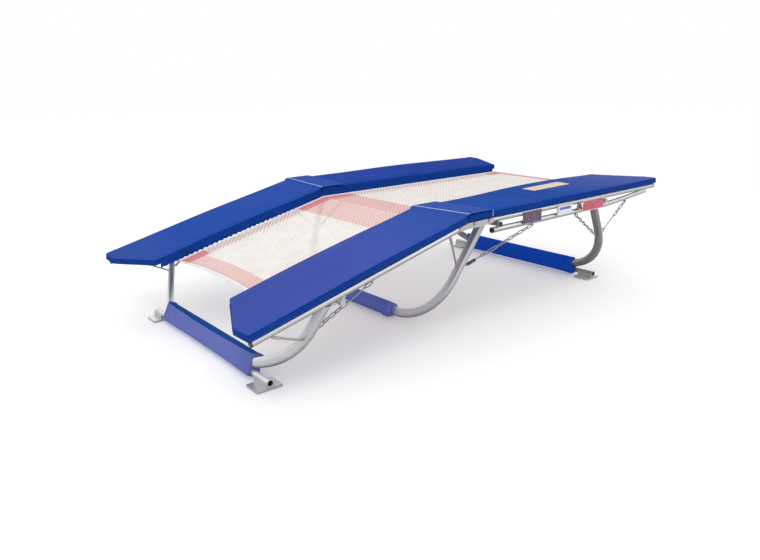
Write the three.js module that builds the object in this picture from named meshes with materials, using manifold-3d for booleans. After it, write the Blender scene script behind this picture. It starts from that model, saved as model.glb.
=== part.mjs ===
// A double mini trampoline: a sloped run-in section and a level section on three folding leg frames.
// Lengths are in millimetres. X runs from the low end to the high end, Y to the left, Z up.
// The fold between the sections lies at x = 0 while the pieces are made; the group is centred at the end.
import * as THREE from "three";
import { mergeVertices } from "three/addons/utils/BufferGeometryUtils.js";
import Module from "manifold-3d";

const wasm = await Module();
wasm.setup();

// Overall sizes
const halfWidth = 925;
const padTop = 751.5;
const padLowEnd = 1385;
const padHighEnd = 2019.3;
const railLowEnd = 1357.5;
const railHighEnd = 1995;
const slopeShare = 0.241;
const seat = 0.3;
const overrun = 400;
const slopeAngle = Math.atan(slopeShare);

// Frame tubes
const railFromEdge = 25;
const railSide = halfWidth - railFromEdge;
const railRadius = 17;
const trussRadius = 16.5;
const trussDrop = 63.33;
const trussPath = [[220, 0], [1380, 0], [1620, 15], [1892, 38]];
const capLength = 7;

// Long pads
const padThickness = 41;
const padInner = 464;
const padDrop = 16;
const padCrown = 2.5;
const lowEndEdge = 137;
const lowEndChamfer = 153;
const highEndEdge = 100;
const highEndChamfer = 179.3;
const cornerRound = 14;
const padEdgeShares = [[0.17, 0], [0.037, 0.12], [0, 0.49], [0.037, 0.83], [0.17, 1]];
const padCrownInset = 63;
const flapReach = 190;
const flapThickness = 5;
const flapRoot = 30;
const flapDepth = 3;
const flapInset = 2;

// Bed and springs
const bedHalfWidth = 460;
const bedLowEnd = 1080;
const bedHighEnd = 1852;
const bedDepth = 27.3;
const bedThickness = 6;
const bedBorder = 40;
const bedStrand = 22;
const bedSag = 30;
const lowCellCount = 7;
const highCellCount = 12;
const acrossCellCount = 7;
const springPitch = 48;
const springRadius = 6;
const springRise = 2;
const hookStrip = 5;
const hookStripHeight = 14;

// Leg tubes: flat oval, deep in the plane of the bend and slim across it
const ovalDeep = 30;
const ovalSlim = 20;
const barRadius = 18;
const barHeight = 39;
const barInset = 195;
const barPadInset = 360;
const barHalfLength = railSide - barInset;
const barPadHalfLength = railSide - barPadInset;
const barrelRadius = 15;
const barrelSetback = 30;
const barrelLength = 85;
const barrelOuter = railSide - barrelSetback;
const barrelInner = barrelOuter - barrelLength;
const legLead = 10;
const legTopRise = 7.6;
const legTopSpare = 14.5;
const legTopClearance = 3;
const legTrimLength = 60;
const pinRadius = 10;
const pinInset = 5;
const pinInner = barrelInner + pinInset;
const pinRootInset = 20;
const pinRoot = railSide - pinRootInset;
const bossRadius = 17;
const armThickness = 22;
const armDrop = 38.9;

// A leg starts over its crossbar, bends up and ends under the rail.
// Its top is inset from the middle of the rail.
const legFrames = {
  front: {
    start: -1176, topInset: 12.06, bend: 446, bendDegrees: 62.6, turnDegrees: 23.8, leanDegrees: 7.6,
    bar: [-1167, barHeight], hingeAhead: 78.61, arm: true, padSkin: 6,
    pad: [[-1207, 32], [-1160, 10], [-1136, 14], [-1098, 117], [-1106, 124], [-1151, 142]],
  },
  mid: {
    start: -30, topInset: 97.06, bend: 390, bendDegrees: 78.5, turnDegrees: 0, leanDegrees: 23.8,
    height: 44, hingeAhead: 20.13,
    pad: [[-101, 56], [-72, 10], [-18, 8], [5, 40], [-1, 80], [-68, 106]],
  },
  rear: {
    start: 1622, topInset: 84, bend: 368, bendDegrees: 90, turnDegrees: 0, leanDegrees: -25,
    bar: [1640, barHeight], hingeAhead: 4.88, trim: 18,
    pad: [[1588, 24], [1602, 9], [1652, 9], [1666, 50], [1642, 140], [1591, 146]],
  },
};
const midPadInset = 3.7;
const padRound = 8;

// Feet
const footLength = 145;
const footWidth = 114;
const footInset = 3;
const footOuter = barHalfLength - footInset;
const footInner = footOuter - footWidth;
const footThickness = 13;
const cradleLength = 50;
const footRound = 5;
const rubberFoot = { inset: 33.7, width: 60, length: 44 };

// Plates on the outside of the rails, placed from the leg's hinge and the middle of the upper rail
const plateThickness = 2.5;
const webPlates = {
  violet: { leg: "mid", from: 208, to: 388, low: -64, high: 7 },
  red: { leg: "rear", from: -268, to: -28, low: -70, high: -4 },
};
const splicePlate = [[-70, -27], [0, -20], [110, -22], [205, -11], [205, 15], [0, 13], [-70, -4]];
const spliceThickness = 4;
const spliceBolts = [46, 168];
const boltRise = 5;
const boltRadius = 8;
const boltHead = 3.6;

// Chains and stays. Each run starts at its eye under a rail and ends at its eye on the leg.
// Every item of a chain takes its own length, and all of them are stretched together to fill the run.
const wire = 5.5;
const linkWidth = 19;
const linkLength = 33;
const longLinkLength = 80;
const eyeRadius = 6.5;
const eyeLength = 10;
const turnRod = 3.5;
const sleeveRadius = 8;
const stayRadius = 6;
const stayHeadRadius = 8;
const stayHeadShare = 0.2;
const chains = {
  front: { rail: -673, leg: "front", height: 288, face: 1,
    items: ["link", 110, "link", "link", "link", "link", "link", "link"] },
  mid: { rail: 590, truss: true, leg: "mid", height: 396, face: 1,
    items: ["link", "link", "link", "link", "link", "long", "long", "link", 40, "sleeve", 30] },
  rear_inner: { rail: 1040, truss: true, leg: "rear", height: 392, face: -1,
    items: ["link", "link", "link", "link", "link", "link", "link", "link", "link", "link", "long"] },
  rear_outer: { rail: 1640, truss: true, leg: "rear", height: 384, face: 1,
    items: ["link", "link", "link", "link", 130, "link"] },
};
const stays = {
  front: { rail: -1250, leg: "front", height: 260, face: -1 },
  mid: { rail: -123, leg: "mid", height: 394, face: -1 },
};
const sleeveLength = 52;

const cornerShare = 0.45;
const circleSteps = 24;
const pinSteps = 16;
const coarseSteps = 12;
const roughSteps = 8;
const bendSteps = 10;
const linkSteps = 6;
const springSteps = 4;

const railHeight = padTop - padThickness - (padDrop * (halfWidth - railSide)) / (halfWidth - padInner)
  - seat - railRadius;
const trussHeight = railHeight - trussDrop;
const hingeHeight = (railHeight - railRadius + trussHeight + trussRadius) / 2;
const stubRadius = (railHeight - railRadius - trussHeight - trussRadius) / 2 - seat;

const looks = {
  steel: ["#c9ccd0", 0.3, 0.9],
  leg: ["#b9bcbf", 0.38, 0.85],
  rearLeg: ["#8f8c86", 0.42, 0.8],
  black: ["#17181a", 0.6, 0],
  rubber: ["#202022", 0.85, 0],
  slopedVinyl: ["#4a58ae", 0.45, 0],
  levelVinyl: ["#1c4ea8", 0.45, 0],
  frontVinyl: ["#4a55b4", 0.5, 0],
  rearVinyl: ["#1432a0", 0.5, 0],
  net: ["#efe6dc", 0.9, 0],
  spring: ["#c4c6c8", 0.35, 0.9],
  violet: ["#6d4a78", 0.35, 0],
  red: ["#c0304f", 0.5, 0],
  stay: ["#d8cdcb", 0.45, 0.6],
};

const root = new THREE.Group();
root.name = "double_mini_trampoline";

const up = new THREE.Vector3(0, 0, 1);
const sideways = new THREE.Vector3(0, 1, 0);
const at = (x, y, z) => new THREE.Vector3(x, y, z);

// Height of the centre of the upper rail at a place along the length.
const slopedDrop = (padTop - railHeight) / Math.cos(slopeAngle);
const railLine = (x) => (x < 0 ? padTop - slopedDrop + slopeShare * x : railHeight);

function solid(geometry) {
  const bare = new THREE.BufferGeometry();
  bare.setAttribute("position", geometry.getAttribute("position"));
  if (geometry.index) bare.setIndex(geometry.index);
  const merged = mergeVertices(bare);
  return new wasm.Manifold(new wasm.Mesh({
    numProp: 3,
    vertProperties: merged.attributes.position.array,
    triVerts: new Uint32Array(merged.index.array),
  }));
}

function unite(solids) {
  return solids.reduce((whole, next) => whole.add(next));
}

// Joins rings of points, each ring turning left about the way from the first ring to the last.
function loft(rings, closed = false) {
  const count = rings[0].length;
  const positions = rings.flat().flatMap((point) => point.toArray());
  const faces = [];
  const spans = closed ? rings.length : rings.length - 1;
  for (let ring = 0; ring < spans; ring++) {
    const next = (ring + 1) % rings.length;
    for (let i = 0; i < count; i++) {
      const j = (i + 1) % count;
      faces.push(ring * count + i, ring * count + j, next * count + j);
      faces.push(ring * count + i, next * count + j, next * count + i);
    }
  }
  const last = (rings.length - 1) * count;
  for (let i = 1; !closed && i < count - 1; i++) {
    faces.push(0, i + 1, i);
    faces.push(last, last + i, last + i + 1);
  }
  const geometry = new THREE.BufferGeometry();
  geometry.setAttribute("position", new THREE.Float32BufferAttribute(positions, 3));
  geometry.setIndex(faces);
  return solid(geometry);
}

function circle(radius, steps = circleSteps) {
  return Array.from({ length: steps }, (_, i) => {
    const angle = (2 * Math.PI * i) / steps;
    return [radius * Math.cos(angle), radius * Math.sin(angle)];
  });
}

function oval(slim, deep) {
  const half = coarseSteps / 2;
  return Array.from({ length: coarseSteps + 2 }, (_, i) => {
    const top = i <= half;
    const angle = (Math.PI * (top ? i : i - 1)) / half;
    return [slim * Math.cos(angle), slim * Math.sin(angle) + (top ? 1 : -1) * (deep - slim)];
  });
}

// Carries a section along a path that lies in the plane square to the given side direction.
function sweep(path, section, side) {
  return loft(path.map((point, i) => {
    const after = path[Math.min(i + 1, path.length - 1)].clone();
    const before = path[Math.max(i - 1, 0)];
    const last = i === path.length - 1;
    const leaving = last ? point.clone().sub(before).normalize() : after.sub(point).normalize();
    const arriving = i > 0 ? point.clone().sub(before).normalize() : leaving.clone();
    const along = leaving.clone().add(arriving).normalize();
    const across = along.clone().cross(side);
    const stretch = 1 / along.dot(leaving);
    return section.map(([u, v]) =>
      point.clone().addScaledVector(side, u).addScaledVector(across, v * stretch));
  }));
}

function rod(from, to, radius, steps = circleSteps) {
  const along = to.clone().sub(from).normalize();
  const side = (Math.abs(along.y) > Math.abs(along.z) ? up : sideways).clone().cross(along).normalize();
  return sweep([from, to], circle(radius, steps), side);
}

function crossRod(x, z, radius, inner, outer, steps = circleSteps) {
  return rod(at(x, inner, z), at(x, outer, z), radius, steps);
}

function box(x0, x1, y0, y1, z0, z1) {
  const geometry = new THREE.BoxGeometry(x1 - x0, y1 - y0, z1 - z0);
  return solid(geometry.translate((x0 + x1) / 2, (y0 + y1) / 2, (z0 + z1) / 2));
}

// Stands a profile of [x, z] points up and carries it along Y.
function prism(profile, inner, outer, bend = (point) => point) {
  const shape = new THREE.Shape(profile.map(([x, z]) => new THREE.Vector2(x, z)));
  const geometry = new THREE.ExtrudeGeometry(shape, { depth: outer - inner, bevelEnabled: false });
  geometry.rotateX(Math.PI / 2).translate(0, outer, 0);
  return solid(bent(geometry, bend));
}

function bent(geometry, bend) {
  const positions = geometry.getAttribute("position");
  const point = new THREE.Vector3();
  for (let i = 0; i < positions.count; i++) {
    bend(point.fromBufferAttribute(positions, i));
    positions.setXYZ(i, ...point.toArray());
  }
  return geometry;
}

// Moves every edge of a convex outline inwards.
function inset(outline, distance) {
  const lines = outline.map((point, i) => {
    const next = outline[(i + 1) % outline.length];
    const length = Math.hypot(next[0] - point[0], next[1] - point[1]);
    const normal = [-(next[1] - point[1]) / length, (next[0] - point[0]) / length];
    return { normal, reach: normal[0] * point[0] + normal[1] * point[1] + distance };
  });
  return outline.map((_, i) => {
    const a = lines[(i + outline.length - 1) % outline.length];
    const b = lines[i];
    const turn = a.normal[0] * b.normal[1] - a.normal[1] * b.normal[0];
    return [
      (a.reach * b.normal[1] - b.reach * a.normal[1]) / turn,
      (b.reach * a.normal[0] - a.reach * b.normal[0]) / turn,
    ];
  });
}

// Replaces every corner by a short curve.
function rounded(outline, radius, steps = 3) {
  return outline.flatMap((corner, i) => {
    const before = outline[(i + outline.length - 1) % outline.length];
    const after = outline[(i + 1) % outline.length];
    const toward = (target) => {
      const length = Math.hypot(target[0] - corner[0], target[1] - corner[1]);
      const reach = Math.min(radius, length * cornerShare);
      return [((target[0] - corner[0]) * reach) / length, ((target[1] - corner[1]) * reach) / length];
    };
    const back = toward(before);
    const on = toward(after);
    return Array.from({ length: steps + 1 }, (_, step) => {
      const share = step / steps;
      const first = (1 - share) ** 2;
      const second = share ** 2;
      return [corner[0] + back[0] * first + on[0] * second, corner[1] + back[1] * first + on[1] * second];
    });
  });
}

function place(name, look, body, mirrored = false) {
  const { vertProperties, triVerts, numProp, numVert } = body.getMesh();
  const positions = [];
  for (let i = 0; i < numVert; i++) {
    const [x, y, z] = vertProperties.subarray(i * numProp, i * numProp + 3);
    positions.push(x, mirrored ? -y : y, z);
  }
  const faces = Array.from(triVerts);
  for (let i = 0; mirrored && i < faces.length; i += 3) {
    [faces[i + 1], faces[i + 2]] = [faces[i + 2], faces[i + 1]];
  }
  const indexed = new THREE.BufferGeometry();
  indexed.setAttribute("position", new THREE.Float32BufferAttribute(positions, 3));
  indexed.setIndex(faces);
  const geometry = indexed.toNonIndexed();
  geometry.computeVertexNormals();
  const [color, roughness, metalness] = looks[look];
  const mesh = new THREE.Mesh(geometry, new THREE.MeshStandardMaterial({ color, roughness, metalness }));
  mesh.name = name;
  root.add(mesh);
}

function placePair(name, look, body) {
  place(`${name}_left`, look, body);
  place(`${name}_right`, look, body, true);
}

// Rails
const slopedEnd = -(railRadius * Math.sin(slopeAngle) + seat / 2);
const slopeWay = at(Math.cos(slopeAngle), 0, Math.sin(slopeAngle));
const onRail = (x) => at(x, railSide, railLine(x));
const slopedRail = rod(onRail(-railLowEnd), onRail(slopedEnd), railRadius);
const highRail = rod(onRail(seat / 2), onRail(railHighEnd), railRadius);
placePair("sloped_rail", "steel", slopedRail);
placePair("high_rail", "steel", highRail);

const clearRail = rod(onRail(seat / 2), onRail(railHighEnd + overrun), railRadius + seat);
const trussPoints = trussPath.map(([x, rise]) => at(x, railSide, trussHeight + rise));
const trussRail = sweep(trussPoints, circle(trussRadius), sideways).subtract(clearRail);
placePair("truss_rail", "steel", trussRail);

const lowEnd = onRail(-railLowEnd).addScaledVector(slopeWay, -seat);
placePair("rail_cap_low", "black",
  rod(lowEnd.clone().addScaledVector(slopeWay, -capLength), lowEnd, railRadius));
const trussStart = trussPoints[0].x - seat;
const trussCap = [trussStart - capLength, trussStart].map((x) => at(x, railSide, trussHeight));
placePair("truss_cap", "black", rod(...trussCap, trussRadius));

const plateFace = railSide + railRadius + seat;
const aboveRail = (points) => points.map(([x, rise]) => [x, railHeight + rise]);
const spliceBody = [prism(aboveRail(splicePlate), plateFace, plateFace + spliceThickness)];
for (const x of spliceBolts) {
  const head = plateFace + spliceThickness;
  spliceBody.push(crossRod(x, railHeight + boltRise, boltRadius,
    plateFace + spliceThickness / 2, head + boltHead, coarseSteps));
}
placePair("fold_splice", "steel", unite(spliceBody));

for (const [name, { leg, from, to, low, high }] of Object.entries(webPlates)) {
  const [x] = hingeOf(legFrames[leg]);
  const corners = [[x + from, low], [x + to, low], [x + to, high], [x + from, high]];
  const plate = rounded(aboveRail(corners), footRound);
  placePair(`web_plate_${name}`, name, prism(plate, plateFace, plateFace + plateThickness));
}

// Long pads
function padBody(outline, slope) {
  const rings = padEdgeShares.map(([draw, height]) => [draw * padThickness, (height - 1) * padThickness]);
  rings.push([padCrownInset, padCrown]);
  return loft(rings.map(([draw, height]) => rounded(inset(outline, draw), cornerRound).map(([x, y]) =>
    settled(at(x, y, height), slope))));
}

function settled(point, slope) {
  point.z += padTop - (padDrop * (halfWidth - point.y)) / (halfWidth - padInner);
  if (slope) point.z += slopeShare * point.x;
  return point;
}

const half = seat / 2;
const lowOutline = [[-padLowEnd, halfWidth], [-padLowEnd, halfWidth - lowEndEdge],
  [lowEndChamfer - padLowEnd, padInner], [-half, padInner], [-half, halfWidth]];
const highOutline = [[half, halfWidth], [half, padInner], [padHighEnd - highEndChamfer, padInner],
  [padHighEnd, halfWidth - highEndEdge], [padHighEnd, halfWidth]];
const flapLow = padCrown + seat;
const flapProfile = [[-flapRoot, -slopeShare * flapRoot - flapDepth], [-half, -flapDepth], [-half, flapLow],
  [flapReach, flapLow], [flapReach, flapLow + flapThickness], [0, flapLow + flapThickness],
  [-flapRoot, flapDepth - slopeShare * flapRoot]];
const flap = prism(flapProfile, padInner + flapInset, halfWidth - flapInset,
  (point) => settled(point, false));
placePair("low_pad", "slopedVinyl", padBody(lowOutline, true).add(flap));
placePair("high_pad", "levelVinyl", padBody(highOutline, false));

// Bed: a net bent at the fold, its low edge drawn in towards the middle
const bedLine = (x) => (x < 0 ? railLine(x) : railHeight) - bedDepth;

function strands(from, to, gaps, startBand, endBand) {
  const pitch = (to - from - startBand - endBand + bedStrand) / gaps;
  const lines = [];
  for (let i = 0; i < gaps; i++) {
    const start = from + startBand + i * pitch;
    lines.push([start, true], [start + pitch - bedStrand, false]);
  }
  return lines;
}

function netBody() {
  const long = [[-bedLowEnd, false], ...strands(-bedLowEnd, 0, lowCellCount, bedBorder, bedStrand / 2),
    [0, false], ...strands(0, bedHighEnd, highCellCount, bedStrand / 2, bedBorder)];
  const wide = [[-bedHalfWidth, false],
    ...strands(-bedHalfWidth, bedHalfWidth, acrossCellCount, bedBorder, bedBorder)];
  const xs = long.map(([x]) => x).concat(bedHighEnd);
  const ys = wide.map(([y]) => y).concat(bedHalfWidth);
  const outside = (i, j) => i < 0 || j < 0 || i >= long.length || j >= wide.length;
  const open = (i, j) => outside(i, j) || (long[i][1] && wide[j][1]);
  const positions = [];
  for (const side of [-1, 1]) {
    for (const x of xs) {
      for (const y of ys) {
        const draw = x < 0 ? bedSag * (1 - (y / bedHalfWidth) ** 2) * (-x / bedLowEnd) : 0;
        positions.push(x + draw, y, bedLine(x + draw) + (side * bedThickness) / 2);
      }
    }
  }
  const layer = xs.length * ys.length;
  const faces = [];
  const quad = (a, b, c, d) => faces.push(a, b, c, a, c, d);
  for (let i = 0; i < long.length; i++) {
    for (let j = 0; j < wide.length; j++) {
      if (open(i, j)) continue;
      const [a, b, c, d] = [i * ys.length + j, (i + 1) * ys.length + j, (i + 1) * ys.length + j + 1,
        i * ys.length + j + 1];
      quad(a + layer, b + layer, c + layer, d + layer);
      quad(a, d, c, b);
      if (open(i, j - 1)) quad(a, b, b + layer, a + layer);
      if (open(i + 1, j)) quad(b, c, c + layer, b + layer);
      if (open(i, j + 1)) quad(c, d, d + layer, c + layer);
      if (open(i - 1, j)) quad(d, a, a + layer, d + layer);
    }
  }
  const geometry = new THREE.BufferGeometry();
  geometry.setAttribute("position", new THREE.Float32BufferAttribute(positions, 3));
  geometry.setIndex(faces);
  return solid(geometry);
}
place("bed_net", "net", netBody());

// Springs: a hook strip along the rail and a plain rod for every spring
const stripFace = railSide - railRadius - seat;
const stripEnds = [-bedLowEnd, -half, bedHighEnd];
const stripProfile = [
  ...stripEnds.map((x) => [x, railLine(x) - hookStripHeight / 2]),
  ...stripEnds.toReversed().map((x) => [x, railLine(x) + hookStripHeight / 2]),
];
const springs = [prism(stripProfile, stripFace - hookStrip, stripFace)];
const springCount = Math.floor((bedLowEnd + bedHighEnd) / springPitch);
for (let i = 0; i < springCount; i++) {
  const x = -bedLowEnd + springPitch * (i + 1 / 2);
  springs.push(rod(at(x, bedHalfWidth + seat, bedLine(x)),
    at(x, stripFace - hookStrip / 2, railLine(x) - springRise), springRadius, springSteps));
}
placePair("spring_row", "spring", unite(springs));

// Leg frames
function legPath(frame) {
  const [turn, lean, bendAngle] = [frame.turnDegrees, frame.leanDegrees, frame.bendDegrees]
    .map(THREE.MathUtils.degToRad);
  const out = at(Math.sin(turn), Math.cos(turn), 0);
  const rise = at(Math.cos(turn) * Math.sin(lean), -Math.sin(turn) * Math.sin(lean), Math.cos(lean));
  const base = at(frame.start, 0, frame.height ?? baseHeight(frame, lean, turn));
  const spot = (s, t) => base.clone().addScaledVector(out, s).addScaledVector(rise, t);
  const points = [spot(-legLead, 0)];
  for (let i = 0; i <= bendSteps; i++) {
    const angle = (bendAngle * i) / bendSteps;
    points.push(spot(frame.bend * Math.sin(angle), frame.bend * (1 - Math.cos(angle))));
  }
  const way = out.clone().multiplyScalar(Math.cos(bendAngle)).addScaledVector(rise, Math.sin(bendAngle));
  const bendEnd = points.at(-1);
  const climb = (frame.arm ? railLine(bendEnd.x) : hingeHeight + legTopSpare) - bendEnd.z;
  const straight = climb / (way.z - (frame.arm ? slopeShare * way.x : 0));
  points.push(bendEnd.clone().addScaledVector(way, straight));
  const shift = railSide - frame.topInset - points.at(-1).y;
  for (const point of points) point.y += shift;
  return { points, side: out.clone().cross(rise), out };
}

// Height at which the leg tube rests on the crossbar below it.
function baseHeight(frame, lean, turn) {
  const deep = ovalDeep - ovalSlim;
  const ahead = frame.start - frame.bar[0] - deep * Math.cos(turn) * Math.sin(lean);
  return frame.bar[1] + Math.sqrt((barRadius + ovalSlim + seat) ** 2 - ahead ** 2) + deep * Math.cos(lean);
}

// A place on the face of the leg tube at a height, with room for an eye to lie against it.
function legEye(frame, height, face) {
  const { points, side } = legPath(frame);
  const i = points.findIndex((point) => point.z > height);
  const share = (height - points[i - 1].z) / (points[i].z - points[i - 1].z);
  const spot = points[i - 1].clone().lerp(points[i], share);
  const toward = side.clone().multiplyScalar(face * Math.sign(side.x));
  return spot.addScaledVector(toward, ovalSlim + seat + eyeRadius);
}

function hingeOf(frame) {
  const { points } = legPath(frame);
  if (frame.arm) {
    const x = points.at(-1).x + frame.hingeAhead;
    return [x, railLine(x) - armDrop];
  }
  const lean = THREE.MathUtils.degToRad(frame.leanDegrees);
  return [points[0].x + (hingeHeight - points[0].z) * Math.tan(lean) + frame.hingeAhead, hingeHeight];
}
const capsule = ([x0, z0], [x1, z1], radius) => {
  const angle = Math.atan2(z1 - z0, x1 - x0);
  return Array.from({ length: coarseSteps * 2 + 2 }, (_, i) => {
    const first = i <= coarseSteps;
    const turned = angle + Math.PI / 2 + (Math.PI * (first ? i : i - 1)) / coarseSteps;
    return [(first ? x0 : x1) + radius * Math.cos(turned), (first ? z0 : z1) + radius * Math.sin(turned)];
  });
};

const railShadow = [[-railLowEnd - overrun, railLine(-railLowEnd - overrun)], [0, railLine(-half)],
  [overrun, railHeight], [overrun, railHeight + overrun], [-railLowEnd - overrun, railHeight + overrun]]
  .map(([x, z], i) => [x, i < 3 ? z - (railRadius + legTopClearance) / Math.cos(slopeAngle) : z]);

// The space in front of a bar pad, less its skin, where the leg inside the pad may not reach.
function aheadOfPad(frame, skin) {
  const [low, high] = [frame.pad[0], frame.pad.at(-1)];
  const length = Math.hypot(high[0] - low[0], high[1] - low[1]);
  const [dx, dz] = [(high[0] - low[0]) / length, (high[1] - low[1]) / length];
  const spot = (along, back) => [low[0] + dx * along + dz * back, low[1] + dz * along - dx * back];
  return prism([spot(-overrun, skin), spot(-overrun, -overrun), spot(overrun, -overrun),
    spot(overrun, skin)], -barPadHalfLength, barPadHalfLength);
}

const clearLegs = {};
for (const [name, frame] of Object.entries(legFrames)) {
  const { points, side, out } = legPath(frame);
  const [hingeX, hingeZ] = hingeOf(frame);
  const slot = [points[0].clone().addScaledVector(out, -seat), ...points.slice(1)];
  const slotSection = oval(ovalSlim + seat, ovalDeep + seat);
  let leg = sweep(points, oval(ovalSlim, ovalDeep), side);
  let slots = [sweep(slot, slotSection, side),
    sweep(slot.map(({ x, y, z }) => at(x, -y, z)).toReversed(), slotSection, at(-side.x, side.y, -side.z))];
  clearLegs[name] = slots[0];
  if (frame.padSkin) {
    leg = leg.subtract(aheadOfPad(frame, frame.padSkin));
    slots = slots.map((body) => body.subtract(aheadOfPad(frame, frame.padSkin - seat)));
  }
  const legTop = hingeZ + legTopRise;
  if (frame.arm) leg = leg.subtract(prism(railShadow, 0, railSide + overrun));
  else leg = leg.subtract(box(hingeX - overrun, hingeX + overrun, 0, railSide, legTop, legTop + overrun));
  if (frame.trim) {
    leg = leg.subtract(box(hingeX - overrun, hingeX - frame.trim, 0, railSide,
      legTop - legTrimLength, legTop));
  }
  leg = leg.add(crossRod(hingeX, hingeZ, barrelRadius, barrelInner, barrelOuter, pinSteps));
  if (frame.arm) {
    const { x } = points.at(-1);
    const armEnd = [x, railLine(x) - armDrop];
    leg = leg.add(prism(capsule([hingeX, hingeZ], armEnd, barrelRadius),
      barrelOuter - armThickness, barrelOuter));
  }
  leg = leg.subtract(crossRod(hingeX, hingeZ, pinRadius + seat, padInner, railSide, pinSteps));
  placePair(`${name}_leg`, name === "rear" ? "rearLeg" : "leg", leg);

  let padHalf = barPadHalfLength;
  let bar;
  if (frame.bar) {
    const [x, z] = frame.bar;
    bar = crossRod(x, z, barRadius, -barHalfLength, barHalfLength);
    slots.push(crossRod(x, z, barRadius + seat, -barHalfLength, barHalfLength));
    const plate = rounded([[x - footLength / 2, footInner], [x + footLength / 2, footInner],
      [x + footLength / 2, footOuter], [x - footLength / 2, footOuter]], footRound);
    const foot = loft([0, footThickness].map((height) => plate.map(([px, py]) => at(px, py, height))))
      .add(box(x - cradleLength / 2, x + cradleLength / 2, footInner + seat, footOuter - seat, 0, z))
      .subtract(crossRod(x, z, barRadius + seat, 0, footOuter + overrun));
    placePair(`${name}_foot`, "steel", foot);
  } else {
    const end = points[0].y - seat;
    padHalf = end - midPadInset;
    const straight = [at(points[0].x, -end, points[0].z), at(points[0].x, end, points[0].z)];
    bar = sweep(straight, oval(ovalSlim, ovalDeep), side);
    slots.push(sweep(straight, slotSection, side));
    const deep = ovalDeep - ovalSlim;
    const lean = THREE.MathUtils.degToRad(frame.leanDegrees);
    const under = frame.height - ovalSlim - deep * Math.cos(lean) - seat;
    const middle = frame.start - deep * Math.sin(lean);
    const { length } = rubberFoot;
    const outer = end - rubberFoot.inset;
    const inner = outer - rubberFoot.width;
    const foot = box(middle - length / 2, middle + length / 2, inner, outer, 0, under);
    placePair(`${name}_foot`, "rubber", foot);
    for (const [from, to] of [[inner, outer], [-outer, -inner]]) {
      slots.push(box(middle - length / 2 - seat, middle + length / 2 + seat, from - seat, to + seat,
        -seat, under + seat));
    }
  }
  place(`${name}_crossbar`, name === "rear" ? "rearLeg" : "leg", bar);
  const pad = slots.reduce((left, body) => left.subtract(body),
    prism(rounded(frame.pad, padRound), -padHalf, padHalf));
  place(`${name}_bar_pad`, name === "rear" ? "rearVinyl" : "frontVinyl", pad);

  // Hinge bracket: a pin through the leg, and a boss or a hanger that sits against the rail
  const parts = [crossRod(hingeX, hingeZ, pinRadius, pinInner, pinRoot + seat, pinSteps)];
  if (frame.arm) {
    const top = (x) => railLine(x) - (railRadius + seat) / Math.cos(slopeAngle);
    const hanger = [[hingeX - barrelRadius, hingeZ], [hingeX - barrelRadius / 2, hingeZ - barrelRadius],
      [hingeX + barrelRadius / 2, hingeZ - barrelRadius], [hingeX + barrelRadius, hingeZ],
      [hingeX + 2 * barrelRadius, top(hingeX + 2 * barrelRadius)],
      [hingeX - 2 * barrelRadius, top(hingeX - 2 * barrelRadius)]];
    parts.push(prism(hanger, pinRoot, railSide));
    parts.push(crossRod(hingeX, hingeZ, barrelRadius, pinRoot, railSide + pinRadius, pinSteps));
  } else {
    parts.push(crossRod(hingeX, hingeZ, stubRadius, pinRoot, plateFace + seat, pinSteps));
    parts.push(crossRod(hingeX, hingeZ, bossRadius, plateFace, halfWidth,
      name === "rear" ? linkSteps : pinSteps));
  }
  placePair(`${name}_hinge_bracket`, "steel", unite(parts));
}

// Chains and stays
function link(centre, along, across, length) {
  const normal = along.clone().cross(across);
  const middle = (linkWidth - wire) / 2;
  const rings = Array.from({ length: linkSteps }, (_, i) => {
    const angle = (2 * Math.PI * i) / linkSteps;
    const ray = along.clone().multiplyScalar(Math.cos(angle)).addScaledVector(across, Math.sin(angle));
    const spot = centre.clone().addScaledVector(ray, middle)
      .addScaledVector(along, (Math.sign(Math.cos(angle)) * (length - linkWidth)) / 2);
    return [[ray, 1], [normal, -1], [ray, -1], [normal, 1]]
      .map(([way, sign]) => spot.clone().addScaledVector(way, (sign * wire) / 2));
  });
  return loft(rings, true);
}

function eye(spot) {
  return crossRod(spot.x, spot.z, eyeRadius, spot.y - eyeLength / 2, spot.y + eyeLength / 2, linkSteps);
}

function railEye({ rail, truss }) {
  const below = (railRadius + seat + eyeRadius) / Math.cos(slopeAngle);
  if (!truss) return at(rail, railSide, railLine(rail) - below);
  const i = trussPoints.findIndex((point) => point.x > rail);
  const [before, after] = [trussPoints[i - 1], trussPoints[i]];
  const low = before.clone().lerp(after, (rail - before.x) / (after.x - before.x));
  return low.add(at(0, 0, -(trussRadius + seat + eyeRadius + seat / 2)));
}

const itemLengths = { link: linkLength, long: longLinkLength, sleeve: sleeveLength };
for (const [name, chain] of Object.entries(chains)) {
  const from = railEye(chain);
  const to = legEye(legFrames[chain.leg], chain.height, chain.face);
  const along = to.clone().sub(from);
  const run = along.length();
  along.normalize();
  const lengths = chain.items.map((item) => itemLengths[item] ?? item);
  const stretch = (run - wire) / lengths.reduce((sum, length) => sum + length);
  const sideOne = along.clone().cross(sideways).normalize();
  const sideTwo = along.clone().cross(sideOne);
  const parts = [eye(from), eye(to)];
  let reached = 0;
  chain.items.forEach((item, i) => {
    const length = lengths[i] * stretch + wire;
    const start = from.clone().addScaledVector(along, reached);
    const end = start.clone().addScaledVector(along, length);
    if (item === "link" || item === "long") {
      parts.push(link(start.clone().lerp(end, 0.5), along, i % 2 ? sideTwo : sideOne, length));
    } else {
      parts.push(rod(start, end, item === "sleeve" ? sleeveRadius : turnRod, coarseSteps / 2));
    }
    reached += lengths[i] * stretch;
  });
  placePair(`${name}_chain`, "steel", unite(parts).subtract(clearLegs[chain.leg]));
}

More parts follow.
